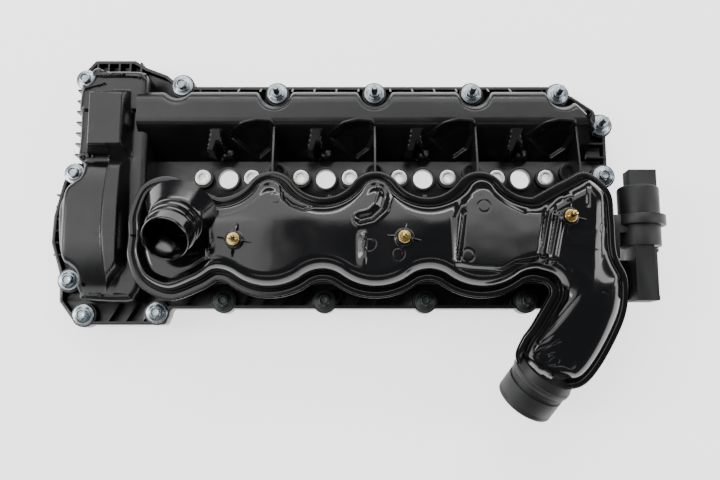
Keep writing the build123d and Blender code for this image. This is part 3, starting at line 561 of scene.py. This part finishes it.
points, faces = turned([
    (19.3, -50.0), (34.0, -50.0), (31.0, -44.0), (28.4, -38.5), (26.3, -34.5), (25.0, -31.8), (24.0, -30.6),
    (22.7, -30.2), (22.7, -27.2), (23.3, -26.6), (23.3, -24.2), (22.6, -23.4), (21.0, -22.8), (21.0, -19.4),
    (21.6, -18.4), (23.0, -18.0), (23.1, -17.2), (23.1, -15.6), (22.6, -15.0),
    (21.7, -14.4), (21.5, -13.6), (21.5, -2.2), (21.2, -0.8), (20.6, -0.1), (20.0, 0.0),
    (19.5, -0.5), (19.3, -1.4)], 96)
points, faces = copies(points, faces, [stub["mouth"]], [stub["axis"]])
addPiece("crossoverStub", points, faces, "cover", "gloss_shell", glossNylon, ["crossover_stub"])

fixing = {"places": ((-128.0, -73.5), (25.5, -71.5), (175.0, -52.5)), "height": 87.5}
points, faces = turned([
    (0.0, 0.0), (5.8, 0.0), (5.8, 3.2), (5.2, 3.9), (4.6, 4.0), (3.0, 4.0), (2.7, 4.3), (2.7, 5.2),
    (2.35, 5.5), (2.35, 6.3),
    (2.7, 6.6), (2.7, 16.6), (2.4, 17.6), (1.7, 18.0), (0.0, 18.0)], 40)
places = [(x, y, fixing["height"]) for x, y in fixing["places"]]
addPiece("brassStuds", *copies(points, faces, places), "cover", "brass", machinedBrass, ["fixing_studs"])
# four thin gussets brace each stud boss, each a fin that falls away from the boss
fins = []
for x, y in fixing["places"]:
    for turn in np.radians([80, 170, 262, 352]):
        c, s = np.cos(turn), np.sin(turn)
        fin, finFaces = plate([(6.8, 76.0), (6.8, 87.2), (8.2, 87.0), (15.5, 84.0), (15.5, 76.0)], -0.6, 0.6, "y")
        out, across, height = fin.T
        fins.append((np.stack([x + out * c - across * s, y + out * s + across * c, height], -1), finFaces))
    ring, ringFaces = turned([(5.9, 76.0), (8.2, 76.0), (8.0, 87.0), (7.4, 87.6), (6.4, 87.6), (5.9, 87.0)], 40)
    fins.append((ring + np.array([x, y, 0.0]), ringFaces))
finPoints = np.concatenate([p.reshape(-1, 3) for p, _ in fins])
starts = np.cumsum([0] + [p.reshape(-1, 3).shape[0] for p, _ in fins])
finFaceList = [[int(i) + int(s) for i in f] for (_, ff), s in zip(fins, starts) for f in ff]
print("pipe ends and studs made")


def addLoose(name, points, faceList, body, material, replaced=(), bevel=0.0):
    # for faces with different numbers of corners
    mesh = bpy.data.meshes.new(name)
    mesh.from_pydata((points / 1000).tolist(), [], faceList)
    work = bmesh.new()
    work.from_mesh(mesh)
    bmesh.ops.recalc_face_normals(work, faces=work.faces)
    work.to_mesh(mesh)
    work.free()
    piece = bpy.data.objects.new(name, mesh)
    bpy.context.scene.collection.objects.link(piece)
    finishPiece(piece, material, bevel)
    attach(piece, body)
    if replaced:
        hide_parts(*replaced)
    return piece


addLoose("studBosses", finPoints, finFaceList, "cover", glossNylon, bevel=0.25)


# ------------ fasteners
fastener = {"flats": 10.0, "tip": -18.0}
studPlaces = [(-98.0, 85.5), (0.0, 85.5), (98.0, 85.5), (185.0, 84.7), (227.0, 52.5)]
brightPlaces = [(-291.0, 100.0), (-194.0, 94.0), (227.5, 0.5), (-298.0, 3.0), (-298.0, -103.5),
                (-282.5, -137.0), (-211.5, -135.0)]
# the four screws under the plenum's edge, whose shadow is painted into their zinc
shadedRowPlaces = [(x, -123.5) for x in cylinderX]


def hexagonal(low, high):
    # a radius beyond 4 mm between two heights is held to a hexagon's flats: flats / 2 / cos(angle from the flat)
    def limit(r, h, angle):
        fromFlat = (angle + np.pi / 6) % (np.pi / 3) - np.pi / 6
        side = fastener["flats"] / 2 / np.cos(fromFlat)
        return np.where((h > low) & (h < high) & (r > 4.2), np.minimum(r, side), r)
    return limit


def threadRings(low, high, radius):
    # a fine thread drawn as rings 1 mm apart, half a millimetre deep
    h = np.arange(low, high, 0.5)
    return np.stack([radius - 0.28 * (np.arange(len(h)) % 2), h], -1)


def hexBolts(name, places, material, extra=()):
    shank = threadRings(fastener["tip"] + 0.6, -2.0, 3.0)
    outline = np.vstack([[(0, -18), (2.4, -18)], shank, [
        (3.0, -1.0), (2.7, -0.6), (2.7, 19.8), (6.9, 20.0), (7.1, 20.5), (6.9, 21.2), (6.2, 21.6),
        (5.9, 21.7), (5.9, 26.2), (5.2, 27.2), (4.6, 27.5), (3.9, 27.5), (3.5, 27.0),
        (3.1, 25.6), (0, 25.2)]])
    points, faces = turned(outline, 60, hexagonal(21.65, 27.2))
    points, faces = copies(points, faces, [(x, y, 0) for x, y in places])
    return addPiece(name, points, faces, "cover", "zinc_steel", material, extra, sharp=30)


def studNuts():
    shank = threadRings(fastener["tip"] + 0.6, -2.0, 3.0)
    proud = threadRings(27.0, 39.2, 3.0)
    outline = np.vstack([[(0, -18), (2.4, -18)], shank, [
        (3.0, -1.0), (2.7, -0.6), (2.7, 19.8), (6.8, 20.0), (7.0, 20.5), (6.7, 21.1),
        (5.95, 21.5), (5.9, 25.6), (5.3, 26.3), (4.4, 26.4), (3.3, 26.4)], proud,
                         [(2.5, 40.0), (0, 40.0)]])
    points, faces = turned(outline, 60, hexagonal(21.45, 26.2))
    points, faces = copies(points, faces, [(x, y, 0) for x, y in studPlaces])
    return addPiece("studsAndNuts", points, faces, "cover", "zinc_steel", zincPlate, ["stud_bolts"], sharp=30)


def washers(name, places, material, extra=()):
    # pressed washer: flat ring with rolled edges and a shallow step at half its width
    points, faces = turned([(3.3, 18.0), (10.0, 18.0), (10.4, 18.3), (10.5, 18.8), (10.3, 19.3), (9.8, 19.55),
                            (8.6, 19.6),
                            (7.9, 19.75), (7.6, 20.0), (3.6, 20.0), (3.3, 19.8)], 72)
    points, faces = copies(points, faces, [(x, y, 0) for x, y in places])
    return addPiece(name, points, faces, "cover", "zinc_steel", material, extra, sharp=44)


hexBolts("brightBolts", brightPlaces, zincPlate, ["hex_bolts"])
# the front row gets the darker zinc copy: painted shade for the plenum's shadow
hexBolts("shadowRowBolts", shadedRowPlaces, paintedShadeZinc, ["hex_bolts"])
studNuts()
washers("brightWashers", brightPlaces + studPlaces, zincPlate, ["bolt_washers"])
# their washers likewise take the darker zinc copy: painted shade
washers("shadowRowWashers", shadedRowPlaces, paintedShadeZinc, ["bolt_washers"])
print("fasteners made")


# ------------ exhaust cam housing: one profile carried along x, its back wall pushed in round each bolt
ridge = {"back": 84.0, "top": 46.0, "notch": 16.0, "recess": 7.0, "left": -232.0, "right": 214.0,
         "nose": 41.0,
         "scoop": [(-143, 37), (-128, 46), (-114, 50), (-102, 49), (-96.5, 40), (-103, 28), (-116, 20.5), (-131, 29)],
         "arrow": [(-160, 47), (-166, 23), (-158, 20.5), (-154, 31), (-146, 20.5), (-150, 38), (-148, 47)]}


def exhaustRidge():
    roundOff = 3 * (1 - np.sin(np.linspace(0, np.pi / 2, 8)))[1:]
    x = np.concatenate([np.linspace(ridge["left"], ridge["right"] - 3, 440), ridge["right"] - roundOff])
    section = through([(84, 5.0), (83.3, 14), (82.4, 25), (81.4, 35), (79.2, 40.6), (74.5, 44.6),
                       (68, 46), (60, 46.1), (52.5, 46),
                       (47.6, 44.8), (44, 41.2), (39, 34.2), (32.5, 25.0), (26, 15.8), (18.5, 5.0)], 150)
    y, z = section[:, 0][None] + 0 * x[:, None], section[:, 1][None] + 0 * x[:, None]
    px = x[:, None] + 0 * y
    back = np.full(len(x), ridge["back"])
    for bx, by in studPlaces + [(-194.0, 94.0)]:
        away = np.abs(x - bx)
        round_ = by - np.sqrt(np.maximum(ridge["notch"] ** 2 - away**2, 0))
        back = np.minimum(back, np.where(away < ridge["notch"], round_, 999))
    back = np.minimum(back, 85 - np.maximum(x - 186, 0) * 1.05)
    kernel = np.exp(-np.linspace(-2, 2, 9) ** 2)
    back = np.convolve(np.pad(back, 4, "edge"), kernel / kernel.sum(), "valid")
    share = step(50, 80, y)
    y = y - (ridge["back"] - back)[:, None] * share
    # scoops: rounded triangles, one beside each cylinder, with a low rim round them
    for shift in (0, 98, 196, 294):
        scoop = depthIn(px, y, [(u + shift, v) for u, v in ridge["scoop"]])
        z = z - ridge["recess"] * step(-0.3, 4.5, scoop) + 0.9 * hump(scoop, -1.4, 1.3)
        arrow = depthIn(px, y, [(u + shift, v) for u, v in ridge["arrow"]])
        z = z + np.maximum(ridge["nose"] - 0.3 * (46 - y) - z, 0) * step(-1.0, 1.4, arrow)
    low = (5.0 - z) * (1 - step(0, 2.5, (ridge["right"] - px)))
    z = z + low * step(211.5, 214, px)
    # low round bosses where the slope meets the platform
    for cx in cylinderX:
        dome = 18 * shoulder(1 - np.hypot(px - cx, (y - 24.5)) / 9.0, 3)
        z = np.maximum(z, np.where(np.hypot(px - cx, y - 24.5) < 9.0, np.minimum(dome, 18), 0))
    z = np.clip(z, 5.0, ridge["top"])
    return np.stack([px, y, z], -1)


ridgeGrid = exhaustRidge()
addPiece("exhaustCamHousing", ridgeGrid, gridFaces(*ridgeGrid.shape[:2]), "cover", "cover_nylon", satinNylon,
         ["exhaust_cam_housing"], wall=2.5, sharp=42)
print("exhaust cam housing made")


# ------------ timing end: an upper block, a saddle, and a large drum with a raised band, over one outline
timing = {
    "edge": 6.5, "base": 36.0, "block": (-281.5, -235.0, 15.0, 83.0), "blockTop": 56.6, "apron": 43.0,
    "bandLeft": [(12, -257), (-6, -259.2), (-24, -260.8), (-43, -261.6), (-62, -261.2), (-80, -259.6),
                 (-97, -257), (-112, -253)],
    "bandTop": 56.0, "skirtTop": 47.0, "bolts": ((-298.0, 3.0), (-298.0, -103.5), (-291.0, 100.0)), "clear": 13.8}


def timingEnd():
    t = timing
    # the outline steps in round each bolt on an arc of the clear radius
    def arc(centre, degrees):
        turns = [math.radians(a) for a in degrees]
        return [(centre[0] + t["clear"] * math.cos(a), centre[1] + t["clear"] * math.sin(a)) for a in turns]

    corners = ([(-224, 98), (-234, 102), (-272, 102)]
               + arc(t["bolts"][2], (0, -25, -50, -75)) + [(-290, 70), (-290, 40), (-290.5, 24)]
               + arc(t["bolts"][0], (60, 30, 0, -30, -60))
               + [(-299, -17), (-305.5, -30), (-306.5, -48), (-304, -74), (-298, -87)]
               + arc(t["bolts"][1], (62, 32, 2, -28))
               + [(-282, -119), (-276, -124.5), (-236, -126), (-228, -120), (-222.5, -104),
                  (-222, -60), (-222, 0), (-222, 50), (-222, 88)])
    loop = through(corners + corners[:1], 560)[:-1]
    side = np.clip(loop[:, 1], -119, 96)
    spine = np.stack([-257.0 + 0 * side, side], -1)
    if np.cross(loop[60] - loop[55], spine[57] - loop[57]) < 0:
        loop, spine = loop[::-1], spine[::-1]
    plan, depth, share = overOutline(loop, spine, [0, 0.6, 1.4, 2.4, 3.6, 5.0, 6.5], 60)
    x, y = plan[..., 0], plan[..., 1]
    x0, x1, y0, y1 = t["block"]
    z = t["base"] - 8 * step(-100, -122, y) + 0 * x
    z = softMax(z, t["apron"] * step(-2, 3, y - 60) + 0 * x, 2)
    # upper block: distance in from its nearest side, rounded over 5 mm; the right side leans out
    block = np.minimum(np.minimum((x - x0) * 1.5, (x1 - x) * 1.3), np.minimum(y - y0, y1 - y) * 1.3)
    z = softMax(z, t["base"] + (t["blockTop"] - t["base"]) * step(0, 1, block / 12.0), 2.5)
    # large drum: a skirt that falls away to both ends, and the band that stands on it
    bandX = np.interp(-y, [-p[0] for p in t["bandLeft"]], [p[1] for p in t["bandLeft"]])
    falls = 0.0042 * np.maximum(np.abs(y + 49) - 12, 0) ** 2
    skirt = np.minimum(x + 305, 0.7 * (-236 - x))
    z = softMax(z, (t["skirtTop"] - falls) * shoulder(skirt / 11.0, 2.2) * (skirt > 0), 2.5)
    bandRight = -240 - 20 * step(-88, -120, y)
    band = np.minimum(np.minimum((x - bandX), (bandRight - x) * 1.2), np.minimum(13 - y, 119 + y) * 0.5)
    z = softMax(z, t["base"] + (t["bandTop"] - t["base"] - 0.5 * falls) * step(-4, 5, band), 1.5)
    z = z + 1.2 * hump(band, 1.2, 1.3) * (y < 8) * (y > -108) * (x < -250)
    z -= 2.0 * hump(y, 11, 7) * (1 - step(-246, -232, x))                       # saddle between block and drum
    z = np.clip(z, 5, 57)
    wall = shoulder(depth / t["edge"], 2.4)
    z = 5.0 + (z - 5.0) * (0.72 * np.minimum(depth / 0.6, 1) + 0.28 * wall)
    return np.stack([x, y, z], -1)


timingGrid = timingEnd()
addPiece("timingEndHousing", timingGrid, gridFaces(*timingGrid.shape[:2], False, True), "cover", "cover_nylon",
         satinNylon, ["timing_end_housing"], wall=2.5, sharp=42)
print("timing end made")


# ------------ floor, light and camera
floorLook = {"colour": "#f2f2f0", "glow": 1.7, "half": 4000.0}
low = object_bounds()[0][2] * 1000
half = floorLook["half"]
floorMesh = bpy.data.meshes.new("studioFloor")
floorCorners = np.array([(-half, -half, low), (half, -half, low), (half, half, low), (-half, half, low)])
floorMesh.from_pydata((floorCorners / 1000).tolist(), [], [(0, 1, 2, 3)])
floor = bpy.data.objects.new("studioFloor", floorMesh)
bpy.context.scene.collection.objects.link(floor)
# matt white opal sheet, lit a little from below, so that openings through the part show white
floorMaterial, _, _, _ = newMaterial("opalAcrylicSheet", {
    "Base Color": linear(floorLook["colour"]), "Roughness": 0.9,
    "Emission Color": linear("#ffffff"), "Emission Strength": floorLook["glow"]})
floorMesh.materials.append(floorMaterial)

# each soft box: direction from the part in degrees (back from vertical, left from vertical), distance, size, brightness
lights = {
    "backBox": {"back": 38.0, "left": 0.0, "distance": 2.0, "size": (2.8, 1.6), "radiance": 2.2},
    "backStrip": {"back": 50.0, "left": 0.0, "distance": 1.9, "size": (2.0, 0.14), "radiance": 11.0},
    "leftBox": {"back": 0.0, "left": 38.0, "distance": 2.0, "size": (1.3, 2.2), "radiance": 1.8},
    "leftStrip": {"back": 0.0, "left": 56.0, "distance": 1.9, "size": (0.3, 1.6), "radiance": 10.0},
    "frontStrip": {"back": -52.0, "left": 0.0, "distance": 1.9, "size": (1.8, 0.14), "radiance": 2.5},
    "rightBox": {"back": 0.0, "left": -58.0, "distance": 1.9, "size": (0.5, 1.6), "radiance": 5.0}}
for name, setup in lights.items():
    lamp = bpy.data.lights.new(name, "AREA")
    lamp.shape, lamp.size, lamp.size_y = "RECTANGLE", *setup["size"]
    lamp.energy = setup["radiance"] * math.pi * setup["size"][0] * setup["size"][1]
    back, left = math.radians(setup["back"]), math.radians(setup["left"])
    direction = Vector((-math.sin(left) * math.cos(back), math.sin(back), math.cos(back) * math.cos(left)))
    away = direction * setup["distance"]
    holder = bpy.data.objects.new(name, lamp)
    bpy.context.scene.collection.objects.link(holder)
    holder.matrix_world = Matrix.Translation(away) @ (-away).to_track_quat("-Z", "Y").to_matrix().to_4x4()
world = bpy.data.worlds.new("studioWorld")
world.use_nodes = True
world.node_tree.nodes["Background"].inputs[0].default_value = (0.9, 0.93, 1.0, 1.0)
world.node_tree.nodes["Background"].inputs[1].default_value = 0.14
bpy.context.scene.world = world

cameraSetup = {"target": (-0.0144, -0.061, 0.0), "tilt": 8.6, "distance": 0.805, "lens": 40.0}
tilt = math.radians(cameraSetup["tilt"])
cameraData = bpy.data.cameras.new("camera")
cameraData.lens, cameraData.sensor_width = cameraSetup["lens"], 36.0
camera = bpy.data.objects.new("camera", cameraData)
bpy.context.scene.collection.objects.link(camera)
tx, ty, tz = cameraSetup["target"]
camera.location = (tx, ty - cameraSetup["distance"] * math.sin(tilt), tz + cameraSetup["distance"] * math.cos(tilt))
camera.rotation_euler = (tilt, 0, 0)
bpy.context.scene.camera = camera
print("stage, lights and camera set")
